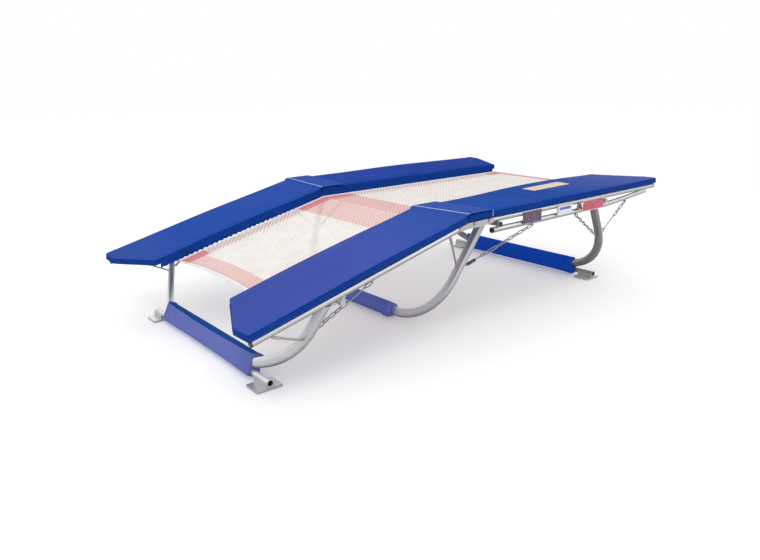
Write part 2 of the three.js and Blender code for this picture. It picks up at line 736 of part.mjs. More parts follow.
for (const [name, stay] of Object.entries(stays)) {
  const from = railEye(stay);
  const to = legEye(legFrames[stay.leg], stay.height, stay.face);
  const head = from.clone().lerp(to, stayHeadShare);
  const parts = [eye(from), eye(to), rod(from, to, stayRadius, roughSteps),
    rod(from, head, stayHeadRadius, roughSteps)];
  placePair(`${name}_stay`, "stay", unite(parts).subtract(clearLegs[stay.leg]));
}

root.position.x = (padLowEnd - padHighEnd) / 2;

export default root;
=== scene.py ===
import math

import bmesh
import bpy
from mathutils import Matrix, Vector, noise
from mathutils.bvhtree import BVHTree


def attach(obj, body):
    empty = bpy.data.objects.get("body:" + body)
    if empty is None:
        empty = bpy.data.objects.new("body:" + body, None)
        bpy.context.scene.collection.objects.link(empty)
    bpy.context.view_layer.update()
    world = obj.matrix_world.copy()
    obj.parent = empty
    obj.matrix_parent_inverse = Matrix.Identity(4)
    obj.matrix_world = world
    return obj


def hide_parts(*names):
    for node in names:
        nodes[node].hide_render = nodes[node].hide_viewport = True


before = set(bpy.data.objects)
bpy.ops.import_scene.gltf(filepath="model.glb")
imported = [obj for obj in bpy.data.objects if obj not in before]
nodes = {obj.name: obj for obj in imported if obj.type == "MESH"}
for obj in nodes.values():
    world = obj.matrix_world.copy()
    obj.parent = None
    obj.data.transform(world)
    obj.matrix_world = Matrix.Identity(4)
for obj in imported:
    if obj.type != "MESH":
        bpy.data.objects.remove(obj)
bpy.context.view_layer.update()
sides = {"left": 1, "right": -1}
foldAt = -0.31715  # x of the fold between the sloped and the level section
print("frame loaded,", len(nodes), "nodes")


# shader sums


def plug(tree, socket, value):
    if isinstance(value, Wire):
        tree.links.new(value.socket, socket)
    else:
        socket.default_value = value


class Wire:
    def __init__(self, tree, socket):
        self.tree = tree
        self.socket = socket

    def sum(self, operation, other=0.0, flipped=False):
        node = self.tree.nodes.new("ShaderNodeMath")
        node.operation = operation
        for socket, value in zip(node.inputs, (other, self) if flipped else (self, other)):
            plug(self.tree, socket, value)
        return Wire(self.tree, node.outputs[0])

    def __add__(self, other):
        return self.sum("ADD", other)

    def __radd__(self, other):
        return self.sum("ADD", other, True)

    def __sub__(self, other):
        return self.sum("SUBTRACT", other)

    def __rsub__(self, other):
        return self.sum("SUBTRACT", other, True)

    def __mul__(self, other):
        return self.sum("MULTIPLY", other)

    def __rmul__(self, other):
        return self.sum("MULTIPLY", other, True)

    def __truediv__(self, other):
        return self.sum("DIVIDE", other)

    def __rtruediv__(self, other):
        return self.sum("DIVIDE", other, True)

    def __gt__(self, other):
        return self.sum("GREATER_THAN", other)

    def __lt__(self, other):
        return self.sum("LESS_THAN", other)


class Finish:
    def __init__(self, name, **shader):
        self.material = bpy.data.materials.new(name)
        self.material.use_nodes = True
        self.tree = self.material.node_tree
        self.shader = self.tree.nodes["Principled BSDF"]
        self.place = self.node("TexCoord", out="Object")
        self.set(**shader)

    def node(self, kind, settings=None, sockets=None, out=0):
        made = self.tree.nodes.new("ShaderNode" + kind)
        for key, value in (settings or {}).items():
            setattr(made, key, value)
        for key, value in (sockets or {}).items():
            plug(self.tree, made.inputs[key], value)
        return Wire(self.tree, made.outputs[out])

    def set(self, **shader):
        for key, value in shader.items():
            plug(self.tree, self.shader.inputs[key.replace("_", " ").title().replace("Ior", "IOR")], value)

    def noise(self, scale, detail=2.0, stretch=None):
        where = self.place
        if stretch:
            where = self.node("Mapping", {}, {"Vector": where, "Scale": stretch})
        return self.node("TexNoise", {}, {"Vector": where, "Scale": scale, "Detail": detail})

    def cells(self, scale, out="Distance"):
        return self.node("TexVoronoi", {}, {"Vector": self.place, "Scale": scale}, out)

    def ramp(self, value, low, high):
        return self.node("MapRange", {"clamp": True}, {0: value, 1: low, 2: high, 3: 0.0, 4: 1.0})

    def mix(self, share, first, second):
        return self.node("Mix", {"data_type": "RGBA"}, {0: share, 6: first, 7: second}, 2)

    def axes(self):
        return [self.node("SeparateXYZ", {}, {0: self.place}, out) for out in range(3)]

    def facingUp(self, low, high):
        facing = self.node("TexCoord", out="Normal")
        return self.ramp(self.node("SeparateXYZ", {}, {0: facing}, 2), low, high)

    def bump(self, height, distance, strength):
        sockets = {"Height": height, "Distance": distance, "Strength": strength}
        self.set(normal=self.node("Bump", {}, sockets))


def rgb(red, green, blue):
    return (red, green, blue, 1.0)


def shaded(colour, share, lift=0.0):
    return rgb(*(min(1.0, part * share + lift) for part in colour))


def vinyl(name, colour, reflectionTint=None, reflectionReach=(0.0, 1.0), side=None, turn=(0.35, 0.8)):
    made = Finish(name, specular_ior_level=0.02)
    along, _, _ = made.axes()
    broad = made.noise(2.2, 3.0)
    smudge = made.noise(11.0, 4.0)
    grain = made.cells(520.0)
    pores = made.noise(1500.0, 2.0)
    tone = made.mix(made.ramp(broad, 0.35, 0.65), shaded(colour, 0.93), shaded(colour, 1.08))
    if reflectionTint:  # painted reflection: the colour shifts towards a second tint along the pad
        tone = made.mix(made.ramp(along + broad * 0.3, *reflectionReach), tone, rgb(*reflectionTint))
    if side:  # painted light and shade: faces turned away from up take the side colour, darker on the long pads and lighter on the front bar pad
        tone = made.mix(made.facingUp(*turn), rgb(*side), tone)
    made.set(base_color=made.mix(made.ramp(smudge, 0.5, 0.8) * 0.14, tone, shaded(colour, 1.25, 0.006)))
    made.set(roughness=made.ramp(smudge, 0.3, 0.75) * 0.14 + 0.55)
    made.bump(grain * 0.7 + pores * 0.3, 0.0005, 0.35)
    return made.material


def galvanised(name, colour, roughness, spangle=75.0, flaking=0.25, wear=0.1, undersideShade=0.62, scuffing=0.08,
               metallic=0.92):
    made = Finish(name, metallic=metallic)
    flakes = made.cells(spangle, "Color")
    flake = made.node("SeparateColor", {}, {0: flakes})
    cloud = made.noise(7.0, 5.0)
    scuff = made.noise(160.0, 2.0, (1.0, 1.0, 6.0))
    flecks = flake * flaking + made.ramp(cloud, 0.3, 0.7) * (1 - flaking)
    tone = made.mix(flecks, shaded(colour, 0.88), rgb(*colour))
    tone = made.mix(made.facingUp(-0.5, 0.75), shaded(colour, undersideShade), tone)  # painted shade: faces turned down take a darker colour
    made.set(base_color=made.mix(made.ramp(cloud, 0.6, 0.85) * wear, tone, rgb(0.33, 0.31, 0.28)))
    made.set(roughness=(flake + made.ramp(scuff, 0.35, 0.7)) * scuffing + (roughness - scuffing * 0.75))
    made.bump(scuff, 0.0002, scuffing)
    return made.material


def brightSteel(name, colour, roughness):
    made = Finish(name, metallic=1.0)
    cloud = made.noise(60.0, 4.0)
    fine = made.noise(900.0, 2.0)
    made.set(base_color=made.mix(made.ramp(cloud, 0.35, 0.7), shaded(colour, 0.7), rgb(*colour)))
    made.set(roughness=made.ramp(fine, 0.3, 0.7) * 0.16 + (roughness - 0.06))
    made.bump(fine, 0.0002, 0.3)
    return made.material


def moulded(name, colour, roughness, bumpDepth=0.0003):
    made = Finish(name)
    cloud = made.noise(30.0, 3.0)
    pores = made.noise(700.0, 3.0)
    made.set(base_color=made.mix(made.ramp(cloud, 0.4, 0.75), rgb(*colour), shaded(colour, 1.25, 0.01)))
    made.set(roughness=made.ramp(pores, 0.3, 0.7) * 0.18 + (roughness - 0.08))
    made.bump(pores, bumpDepth, 0.5)
    return made.material


def painted(name, colour, second):
    made = Finish(name, coat_weight=0.3, coat_roughness=0.2)
    mottle = made.noise(24.0, 4.0)
    wear = made.noise(90.0, 5.0)
    tone = made.mix(made.ramp(mottle, 0.38, 0.66), rgb(*colour), rgb(*second))
    made.set(base_color=made.mix(made.ramp(wear, 0.62, 0.72) * 0.4, tone, rgb(0.8, 0.78, 0.78)))
    made.set(roughness=made.ramp(wear, 0.4, 0.7) * 0.2 + 0.27)
    made.bump(wear, 0.0002, 0.3)
    return made.material


def webbing(name, colour, thread, pitch=0.022, share=0.42):
    made = Finish(name, roughness=0.7, sheen_weight=0.25)
    along, across, _ = made.axes()
    stitch = ((along - across * 0.9) / pitch).sum("FRACT") < share  # slanting lacing threads
    fibres = made.noise(700.0, 3.0)
    tone = made.mix(made.ramp(fibres, 0.3, 0.8) * 0.3, rgb(*colour), shaded(colour, 0.85))
    made.set(base_color=made.mix(stitch * 0.8, tone, rgb(*thread)))
    made.bump(stitch * 0.6 + fibres * 0.4, 0.0006, 0.5)
    return made.material


# painted shade for the side faces of the long pads
paintedSideShade = (0.006, 0.044, 0.26)
looks = {
    # painted light: the same blue vinyl gets its own colour on each pad and side, lighter or darker as light
    # falls on it
    "lowVinylLeft": vinyl("low_pad_vinyl_left", (0.034, 0.082, 0.375), (0.014, 0.070, 0.385),
                          (-1.55, -1.05), paintedSideShade),
    "lowVinylRight": vinyl("low_pad_vinyl_right", (0.048, 0.082, 0.375), (0.026, 0.080, 0.385),
                           (-0.75, -0.25), paintedSideShade),
    "highVinylLeft": vinyl("high_pad_vinyl_left", (0.002, 0.042, 0.335), side=paintedSideShade),
    "highVinylRight": vinyl("high_pad_vinyl_right", (0.004, 0.060, 0.345), (0.078, 0.104, 0.385),
                            (0.75, 1.75), paintedSideShade),
    "frontBarVinyl": vinyl("front_bar_vinyl", (0.007, 0.070, 0.30), side=(0.140, 0.170, 0.48),
                           turn=(0.6, 0.8)),
    "midBarVinyl": vinyl("mid_bar_vinyl", (0.16, 0.21, 0.68)),
    "rearBarVinyl": vinyl("rear_bar_vinyl", (0.009, 0.085, 0.60)),
    "piping": vinyl("fold_piping", (0.60, 0.68, 0.86)),
    "rail": galvanised("galvanised_tube", (0.86, 0.86, 0.87), 0.28, undersideShade=0.36, scuffing=0.04),
    "leg": galvanised("leg_tube_zinc", (0.88, 0.89, 0.90), 0.38, 45.0, 0.05, 0.05, 0.45, 0.02, 0.72),
    "rearLeg": galvanised("rear_tube_zinc", (0.42, 0.40, 0.37), 0.36, 60.0, 0.08, 0.2, 0.7, 0.03),
    "zinc": galvanised("fitting_zinc", (0.78, 0.79, 0.79), 0.3, 120.0, undersideShade=0.5, scuffing=0.04),
    "chain": brightSteel("chain_steel", (0.46, 0.46, 0.45), 0.28),
    "sleeve": brightSteel("chain_sleeve", (0.16, 0.155, 0.15), 0.35),
    # painted shade: the spring wire is dark as if in the shadow of the pad above it
    "spring": brightSteel("spring_wire", (0.24, 0.25, 0.30), 0.42),
    "stay": galvanised("stay_rod_zinc", (0.74, 0.66, 0.64), 0.38),
    "black": moulded("black_cap", (0.012, 0.012, 0.013), 0.45),
    "capBlue": moulded("rail_cap_blue", (0.010, 0.022, 0.085), 0.45),
    "rubber": moulded("foot_rubber", (0.018, 0.018, 0.019), 0.8, 0.0006),
    # painted shade: near black for the inside of the crossbar bores and the ring's core
    "hollow": moulded("tube_inside", (0.05, 0.045, 0.04), 0.8),
    "violet": painted("violet_plate", (0.062, 0.026, 0.080), (0.125, 0.070, 0.155)),
    "red": painted("red_plate", (0.50, 0.045, 0.085), (0.60, 0.10, 0.15)),
    "label": painted("bare_label", (0.66, 0.73, 0.83), (0.80, 0.84, 0.89)),
    "labelBlue": painted("bare_label_band", (0.05, 0.10, 0.36), (0.09, 0.16, 0.48)),
    "badge": painted("bare_badge", (0.72, 0.44, 0.25), (0.78, 0.54, 0.35)),
    "badgeRim": painted("bare_badge_rim", (0.80, 0.63, 0.42), (0.84, 0.70, 0.50)),
    "brass": brightSteel("bronze_ring", (0.40, 0.31, 0.22), 0.4),
    "web": webbing("bed_webbing", (0.93, 0.90, 0.87), (0.74, 0.38, 0.34), 0.030, 0.5),
    "redWeb": webbing("bed_webbing_red", (0.74, 0.17, 0.20), (0.82, 0.34, 0.34)),
    "cord": webbing("bed_edge_cord", (0.93, 0.92, 0.89), (0.84, 0.82, 0.79), 0.008, 0.3),
}
print("finishes made,", len(looks))


# modelling helpers


def only(*pieces):
    bpy.ops.object.select_all(action="DESELECT")
    for piece in pieces:
        piece.select_set(True)
    bpy.context.view_layer.objects.active = pieces[0]


def applied(piece):
    only(piece)
    bpy.ops.object.transform_apply(location=True, rotation=True, scale=True)
    return piece


def edited(piece, work):
    only(piece)
    bpy.ops.object.mode_set(mode="EDIT")
    work()
    bpy.ops.object.mode_set(mode="OBJECT")
    return piece


def pick(piece, kind, test):
    mesh = bmesh.from_edit_mesh(piece.data)
    bpy.ops.mesh.select_all(action="DESELECT")
    bpy.context.tool_settings.mesh_select_mode = (kind == "verts", kind == "edges", kind == "faces")
    for item in getattr(mesh, kind):
        if test(item):
            item.select_set(True)
    mesh.select_flush_mode()
    bmesh.update_edit_mesh(piece.data)


def outward(piece):
    def work():
        bpy.ops.mesh.select_all(action="SELECT")
        bpy.ops.mesh.remove_doubles(threshold=0.00001)
        bpy.ops.mesh.normals_make_consistent(inside=False)
    return edited(piece, work)


def smooth(piece, degrees=35):
    only(piece)
    bpy.ops.object.shade_smooth_by_angle(angle=math.radians(degrees))
    return piece


def joined(name, pieces):
    only(*pieces)
    if len(pieces) > 1:
        bpy.ops.object.join()
    piece = bpy.context.view_layer.objects.active
    piece.name = name
    piece.data.name = name
    return piece


def copied(piece, matrix=None):
    twin = piece.copy()
    twin.data = piece.data.copy()
    bpy.context.collection.objects.link(twin)
    if matrix is not None:
        twin.data.transform(matrix)
    return twin


def mirrored(piece, name):
    twin = copied(piece, Matrix.Scale(-1, 4, (0, 1, 0)))
    twin.data.flip_normals()
    twin.name = name
    twin.data.name = name
    return twin


def dressed(piece, look):
    piece.data.materials.clear()
    piece.data.materials.append(looks[look])
    return piece


def housed(piece, body, slotName, *stoodFor):
    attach(piece, body)
    if stoodFor:
        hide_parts(*stoodFor)


def fromPoints(name, points, faces):
    mesh = bpy.data.meshes.new(name)
    mesh.from_pydata(points, [], faces)
    mesh.update()
    piece = bpy.data.objects.new(name, mesh)
    bpy.context.collection.objects.link(piece)
    return piece


def beaded(name, points, radius, closed=False, corners=1):
    line = bpy.data.curves.new(name, "CURVE")
    line.dimensions = "3D"
    line.bevel_depth = radius
    line.bevel_resolution = corners
    line.use_fill_caps = True
    run = line.splines.new("POLY")
    run.points.add(len(points) - 1)
    for spot, point in zip(run.points, points):
        spot.co = (*point, 1.0)
    run.use_cyclic_u = closed
    piece = bpy.data.objects.new(name, line)
    bpy.context.collection.objects.link(piece)
    only(piece)
    bpy.ops.object.convert(target="MESH")
    piece = bpy.context.view_layer.objects.active
    return smooth(outward(piece), 60)


def rodBetween(start, end, radius, corners):
    start, end = Vector(start), Vector(end)
    bpy.ops.mesh.primitive_cylinder_add(vertices=corners, radius=radius, depth=(end - start).length,
                                        location=(start + end) / 2,
                                        rotation=(end - start).to_track_quat("Z", "Y").to_euler())
    return applied(bpy.context.object)


def slab(low, high, rim=0.0):
    low, high = Vector(low), Vector(high)
    bpy.ops.mesh.primitive_cube_add(size=1, location=(low + high) / 2)
    piece = bpy.context.object
    piece.scale = high - low
    applied(piece)
    if rim:
        def work():
            bpy.ops.mesh.select_all(action="SELECT")
            bpy.ops.mesh.bevel(offset=rim, segments=2, affect="EDGES")
        edited(piece, work)
    return piece


# shapes shared with the frame

rails = {"side": 0.900, "radius": 0.017, "slope": 0.241, "level": 0.69233, "sloped": 0.690797,
         "bedDrop": 0.0273, "outerFace": 0.9173}
longPads = {
    "top": 0.7515, "thickness": 0.041, "inner": 0.464, "outer": 0.925, "drop": 0.016,
    "lowEnd": -1.385, "lowEdge": 0.137, "lowChamfer": 0.153,
    "highEnd": 2.0193, "highEdge": 0.100, "highChamfer": 0.1793,
    "foldGap": 0.0002, "butt": 0.0006, "shrink": 0.0025, "bottomGap": 0.0005, "cornerRound": 0.008,
    "voxel": 0.012, "pressure": 4.0, "most": 0.004, "heldBelow": 0.012, "unevenness": 0.0009,
    "seamRadius": 0.0019, "seamDown": 0.0045, "seamStep": 0.012, "seamCut": 0.010,
}


def railLine(x):
    return rails["sloped"] + rails["slope"] * x if x < 0 else rails["level"]


def bedLine(x):
    return railLine(x) - rails["bedDrop"]


# how far each cover arches up: midway at its inner and outer edge, and at the inner edge's far end
padArches = {"left": {"low": (0.008, 0.006, 0.0), "high": (0.004, 0.008, 0.0)},
             "right": {"low": (0.010, 0.007, 0.0), "high": (0.018, 0.0, 0.012)}}


def inwardShare(point):
    return (longPads["outer"] - abs(point.y)) / (longPads["outer"] - longPads["inner"])


def padSettle(point, sloped):
    lifted = longPads["top"] - longPads["drop"] * inwardShare(point)
    point.z += lifted + (rails["slope"] * point.x if sloped else 0)
    return point


def padArch(point, side):
    sloped = point.x < 0
    start, end = (0, longPads["lowEnd"]) if sloped else (foldFlap["to"], longPads["highEnd"])
    inner, outer, last = padArches[side]["low" if sloped else "high"]
    along = min(1, max(0, (point.x - start) / (end - start)))
    share = inwardShare(point)
    lifted = math.sin(math.pi * along) ** 2 * (inner * share + outer * (1 - share))
    return lifted + last * share * math.sin(math.pi * along / 2) ** 2


# soft goods

swellFrames = 20


def swollen(piece, voxel, pressure, most, held):
    piece.data.remesh_voxel_size = voxel
    only(piece)
    bpy.ops.object.voxel_remesh()
    start = [point.co.copy() for point in piece.data.vertices]
    group = piece.vertex_groups.new(name="held")
    group.add([point.index for point in piece.data.vertices if held(point)], 1.0, "REPLACE")
    cloth = piece.modifiers.new("swell", "CLOTH")
    cloth.settings.use_pressure = True
    cloth.settings.uniform_pressure_force = pressure
    cloth.settings.effector_weights.gravity = 0
    cloth.settings.vertex_group_mass = "held"
    cloth.settings.quality = 4
    cloth.point_cache.frame_start = 1
    cloth.point_cache.frame_end = swellFrames
    for step in range(1, swellFrames + 1):
        bpy.context.scene.frame_set(step)
    only(piece)
    bpy.ops.object.modifier_apply(modifier="swell")
    bpy.context.scene.frame_set(1)
    for point, origin in zip(piece.data.vertices, start):
        shift = point.co - origin
        if shift.length > most:
            point.co = origin + shift * (most / shift.length)
    piece.vertex_groups.clear()
    finer = piece.modifiers.new("finer", "SUBSURF")
    finer.levels = finer.render_levels = 1
    only(piece)
    bpy.ops.object.modifier_apply(modifier="finer")
    bpy.ops.object.shade_smooth()
    return piece


def padBoard(fromX, toX, cutPoint, cutNormal, sloped):
    pad = longPads
    inward = pad["shrink"]
    starts, ends = (pad["butt"] if abs(x) <= pad["foldGap"] else inward for x in (fromX, toX))
    piece = slab((fromX + starts, pad["inner"] + inward, -pad["thickness"] + pad["bottomGap"]),
                 (toX - ends, pad["outer"] - inward, -inward))

    def upright(edge):
        return abs(edge.verts[0].co.z - edge.verts[1].co.z) > pad["thickness"] / 2

    def work():
        bpy.ops.mesh.select_all(action="SELECT")
        bpy.ops.mesh.bisect(plane_co=cutPoint, plane_no=cutNormal, use_fill=True, clear_outer=True)
        pick(piece, "edges", upright)
        bpy.ops.mesh.bevel(offset=pad["cornerRound"], segments=3, affect="EDGES")
    edited(piece, work)
    middle = -pad["thickness"] / 2
    swollen(piece, pad["voxel"], pad["pressure"], pad["most"],
            lambda point: point.co.z < middle - pad["heldBelow"])
    for point in piece.data.vertices:
        if point.co.z > middle:
            spot = Vector((point.co.x * 3.1, point.co.y * 4.7, 0.3 if sloped else 5.1))
            point.co.z += pad["unevenness"] * noise.noise(spot)
    piece.data.update()
    return piece


def padOutline(points):
    corners = []
    for i, corner in enumerate(points):
        before, after = Vector(points[i - 1]), Vector(points[(i + 1) % len(points)])
        corner = Vector(corner)
        for target in (before, after):
            corners.append(corner + (target - corner).normalized() * longPads["seamCut"])
    line = []
    for i, corner in enumerate(corners):
        after = corners[(i + 1) % len(corners)]
        count = max(1, round((after - corner).length / longPads["seamStep"]))
        line += [corner.lerp(after, step / count) for step in range(count)]
    return line


def seams(name, piece, outline):
    pad = longPads
    surface = BVHTree.FromPolygons([point.co for point in piece.data.vertices],
                                   [face.vertices for face in piece.data.polygons])
    line = padOutline(outline)
    made = []
    for height in (-pad["seamDown"], -pad["thickness"] + pad["seamDown"]):
        spots = [surface.find_nearest(Vector((*point, height)))[0] for point in line]
        made.append(beaded(name, spots, pad["seamRadius"], closed=True))
    return made


def longPad(kind, outline, cutPoint, cutNormal, sloped, slotName, extras):
    xs = [point[0] for point in outline]
    board = padBoard(min(xs), max(xs), cutPoint, cutNormal, sloped)
    piece = joined(f"{kind}_cover_left", [board, *seams(kind, board, outline), *extras])
    for point in piece.data.vertices:
        padSettle(point.co, sloped and point.co.x < 0)
        point.co.x += foldAt
    piece.data.update()
    twin = mirrored(piece, f"{kind}_cover_right")
    for made, side in ((piece, "left"), (twin, "right")):
        for point in made.data.vertices:
            point.co.z += padArch(Vector((point.co.x - foldAt, point.co.y, 0)), side)
        made.data.update()
        dressed(made, kind.split("_")[0] + "Vinyl" + side.title())
        housed(made, "frame", slotName, f"{kind}_{side}")


skirt = {"depth": 0.027, "hold": 0.006, "thickness": 0.0016, "setback": 0.003, "tooth": 0.007,
         "pitch": 0.034, "fullness": 0.0012, "endGap": 0.03, "foldGap": 0.004}


def padSkirt(fromX, toX):
    # a strip of vinyl under the inner edge, its lower edge cut in points
    columns = 2 * round((toX - fromX) / skirt["pitch"])
    top = -longPads["thickness"] + skirt["hold"]
    bottom = -longPads["thickness"] - skirt["depth"]
    inner = longPads["inner"] + skirt["setback"]
    bpy.ops.mesh.primitive_grid_add(x_subdivisions=columns, y_subdivisions=4, size=1,
                                    location=((fromX + toX) / 2, inner, (top + bottom) / 2),
                                    rotation=(math.pi / 2, 0, 0))
    piece = bpy.context.object
    piece.scale = (toX - fromX, top - bottom, 1)
    applied(piece)

    def work():
        bpy.ops.mesh.select_all(action="SELECT")
        bpy.ops.mesh.extrude_region_move(TRANSFORM_OT_translate={"value": (0, skirt["thickness"], 0)})
    edited(piece, work)
    for point in piece.data.vertices:
        column = round((point.co.x - fromX) / (toX - fromX) * columns)
        if point.co.z < bottom + 0.0001 and column % 2:
            point.co.z += skirt["tooth"]
        point.co.y += skirt["fullness"] * noise.noise(Vector((point.co.x * 7, point.co.z * 30, 4.0)))
    return outward(piece)


foldFlap = {"from": -0.024, "to": 0.190, "thickness": 0.0026, "rise": 0.0026, "sunk": -0.0034,
            "inset": 0.002, "round": 0.0012, "steps": 24, "unevenness": 0.0004}


def flapSheet():
    flap = foldFlap
    bpy.ops.mesh.primitive_grid_add(x_subdivisions=flap["steps"], y_subdivisions=flap["steps"], size=1)
    piece = bpy.context.object
    width = longPads["outer"] - longPads["inner"] - 2 * flap["inset"]
    piece.scale = (flap["to"] - flap["from"], width, 1)
    piece.location = ((flap["to"] + flap["from"]) / 2, (longPads["outer"] + longPads["inner"]) / 2, 0)
    applied(piece)

    def work():
        bpy.ops.mesh.select_all(action="SELECT")
        bpy.ops.mesh.extrude_region_move(TRANSFORM_OT_translate={"value": (0, 0, flap["thickness"])})
    edited(piece, work)
    outward(piece)

    def rim():
        pick(piece, "edges", lambda edge: edge.calc_face_angle(0) > 1.0
             and min(edge.verts[0].co.z, edge.verts[1].co.z) > flap["thickness"] / 2)
        bpy.ops.mesh.bevel(offset=flap["round"], segments=2, affect="EDGES")
    edited(piece, rim)
    for point in piece.data.vertices:
        ramped = max(0, point.co.x / flap["from"])  # it is sewn in on the sloped side
        point.co.z += flap["rise"] + (flap["sunk"] - flap["rise"]) * ramped
        point.co.z += flap["unevenness"] * noise.noise(Vector((point.co.x * 16, point.co.y * 9, 2.0)))
    return smooth(piece, 40)


print("modelling long pads")
pad = longPads
lowOutline = [(pad["lowEnd"], pad["outer"]), (pad["lowEnd"], pad["outer"] - pad["lowEdge"]),
              (pad["lowEnd"] + pad["lowChamfer"], pad["inner"]),
              (-pad["foldGap"], pad["inner"]), (-pad["foldGap"], pad["outer"])]
highOutline = [(pad["foldGap"], pad["outer"]), (pad["foldGap"], pad["inner"]),
               (pad["highEnd"] - pad["highChamfer"], pad["inner"]),
               (pad["highEnd"], pad["outer"] - pad["highEdge"]), (pad["highEnd"], pad["outer"])]


def chamferPlane(first, second):
    first, second = Vector((*first, 0)), Vector((*second, 0))
    along = (second - first).normalized()
    return first, Vector((-along.y, along.x, 0))


lowCut, lowWay = chamferPlane(lowOutline[2], lowOutline[1])
highCut, highWay = chamferPlane(highOutline[3], highOutline[2])
lowSkirt = padSkirt(pad["lowEnd"] + pad["lowChamfer"] + skirt["endGap"], -skirt["foldGap"])
highSkirt = padSkirt(skirt["foldGap"], pad["highEnd"] - pad["highChamfer"] - skirt["endGap"])
longPad("low_pad", lowOutline, lowCut, lowWay, True, "sloped_vinyl", [flapSheet(), lowSkirt])
longPad("high_pad", highOutline, highCut, highWay, False, "level_vinyl", [highSkirt])

print("modelling bar pads")
barPads = {
    "front": {"look": "frontBarVinyl", "slot": "bar_vinyl", "most": 0.006},
    "mid": {"look": "midBarVinyl", "slot": "bar_vinyl", "most": 0.005},
    "rear": {"look": "rearBarVinyl", "slot": "rear_bar_vinyl", "most": 0.006},
}
barFilling = {"voxel": 0.006, "pressure": 4.0, "holdWithin": 0.009}


def barPad(leg, settings):
    source = nodes[f"{leg}_bar_pad"]
    piece = copied(source)
    piece.name = f"{leg}_bar_cover"
    for key in list(piece.keys()):
        del piece[key]
    piece.parent = None
    piece.hide_render = piece.hide_viewport = False
    outward(piece)
    near = [nodes[f"{leg}_crossbar"], nodes[f"{leg}_leg_left"], nodes[f"{leg}_leg_right"],
            nodes[f"{leg}_foot_left"], nodes[f"{leg}_foot_right"]]
    trees = [BVHTree.FromPolygons([point.co for point in node.data.vertices],
                                  [face.vertices for face in node.data.polygons]) for node in near]

    def held(point):
        return any(tree.find_nearest(point.co, barFilling["holdWithin"])[0] is not None for tree in trees)
    swollen(piece, barFilling["voxel"], barFilling["pressure"], settings["most"], held)
    dressed(piece, settings["look"])
    housed(piece, f"{leg}_leg_frame", settings["slot"], f"{leg}_bar_pad")


for leg, settings in barPads.items():
    barPad(leg, settings)


# bed

bed = {
    "lowEnd": -1.080, "highEnd": 1.852, "halfWidth": 0.460, "sag": 0.030,
    "lowReach": 0.115, "midFrom": -0.215, "midTo": 0.235, "highReach": 0.05,
    "pitch": 0.0150, "crossing": 0.0088, "strand": 0.0050, "thickness": 0.0013, "lift": 0.0007,
    "endGap": 0.02, "foldGap": 0.0002, "margin": 0.004,
    "border": 0.082, "webThickness": 0.0026, "lowRedWeb": 0.16, "highRedWeb": 0.14, "step": 0.03,
    "endWidth": 0.034, "endThickness": 0.0028, "endLift": 0.0004,
    "cordRadius": 0.0055, "cordRise": 0.006, "endCordOut": 0.002, "endCordRise": 0.001,
}


def netting(name, shadedCream, brightCream, shadedRed, brightRed):
    made = Finish(name, roughness=0.75, sheen_weight=0.2)
    along, across, _ = made.axes()
    fibres = made.noise(900.0, 3.0)
    shade = made.noise(9.0, 3.0)
    cream = made.mix(made.ramp(shade, 0.35, 0.7), rgb(*shadedCream), rgb(*brightCream))
    lowCurve = bed["sag"] * (1 - across * across / bed["halfWidth"] ** 2) + (foldAt + bed["lowEnd"])
    low = along < (lowCurve + bed["lowReach"])
    middle = (along > (foldAt + bed["midFrom"])) * (along < (foldAt + bed["midTo"]))
    high = along > (foldAt + bed["highEnd"] - bed["highReach"])
    red = made.mix(made.ramp(fibres, 0.35, 0.65), rgb(*shadedRed), rgb(*brightRed))
    zone = made.node("Math", {"operation": "MAXIMUM"}, {0: low, 1: middle})
    zone = made.node("Math", {"operation": "MAXIMUM"}, {0: zone, 1: high})
    made.set(base_color=made.mix(zone, cream, red))
    made.bump(fibres, 0.0004, 0.5)
    return made.material


looks["net"] = netting("bed_netting", (0.94, 0.92, 0.88), (0.99, 0.98, 0.96),
                       (0.84, 0.50, 0.46), (0.93, 0.72, 0.68))
looks["netThread"] = netting("bed_long_thread", (0.76, 0.65, 0.58), (0.86, 0.76, 0.70),
                             (0.70, 0.34, 0.31), (0.78, 0.44, 0.41))


def bedSpot(x, y, lift=0.0):
    if x < 0:
        x += bed["sag"] * (1 - (y / bed["halfWidth"]) ** 2) * (x / bed["lowEnd"])
    return (x + foldAt, y, bedLine(x) + lift)


